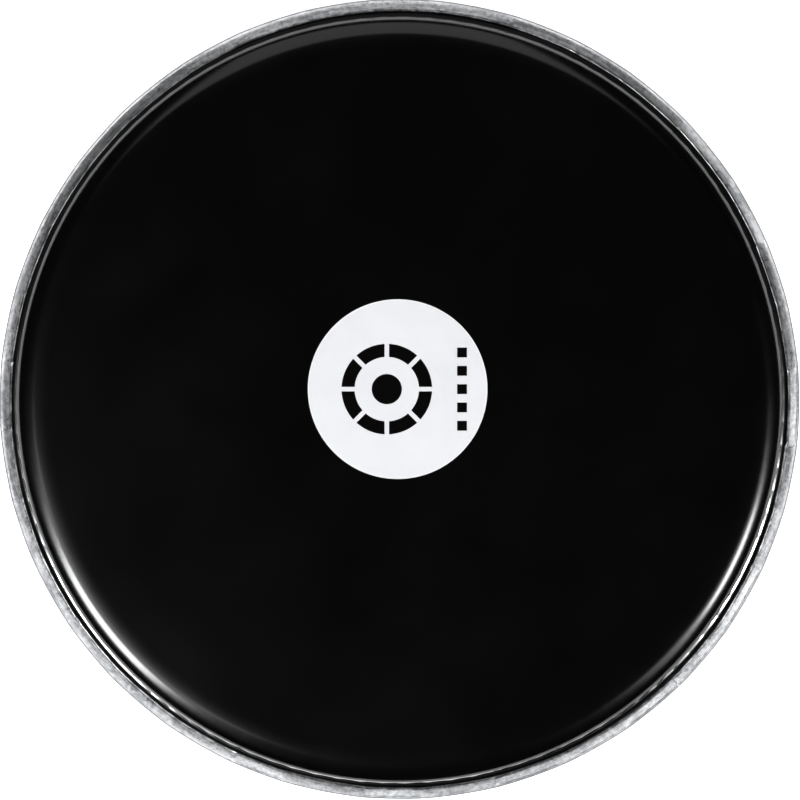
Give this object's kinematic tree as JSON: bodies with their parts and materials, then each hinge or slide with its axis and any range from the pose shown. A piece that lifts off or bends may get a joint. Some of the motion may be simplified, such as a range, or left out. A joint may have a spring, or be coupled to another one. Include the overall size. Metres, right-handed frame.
{
  "type": "drumhead",
  "caption": "Round synthetic drumhead: a moulded black film with a sloping collar, held in a crimped metal flesh hoop, with a printed label disc.",
  "frame": {"origin": "centre of the hoop's base plane, which the part rests on", "axes": "+Z along the drum's axis towards the playing side, +Y towards the top of the printed label, +X to its right"},
  "size_m": [0.32, 0.32, 0.0143],
  "materials": {
    "film": "gloss",
    "hoop_metal": "mill finish",
    "ring_metal": "mill finish",
    "label_white": "satin ink",
    "label_black": "satin ink"
  },
  "bodies": {
    "root": {"drumhead_film": "film", "flesh_hoop": "hoop_metal", "locking_ring": "ring_metal", "hoop_splice": "ring_metal", "label_disc": "label_white", "label_mark": "label_black"}
  },
  "joints": []
}
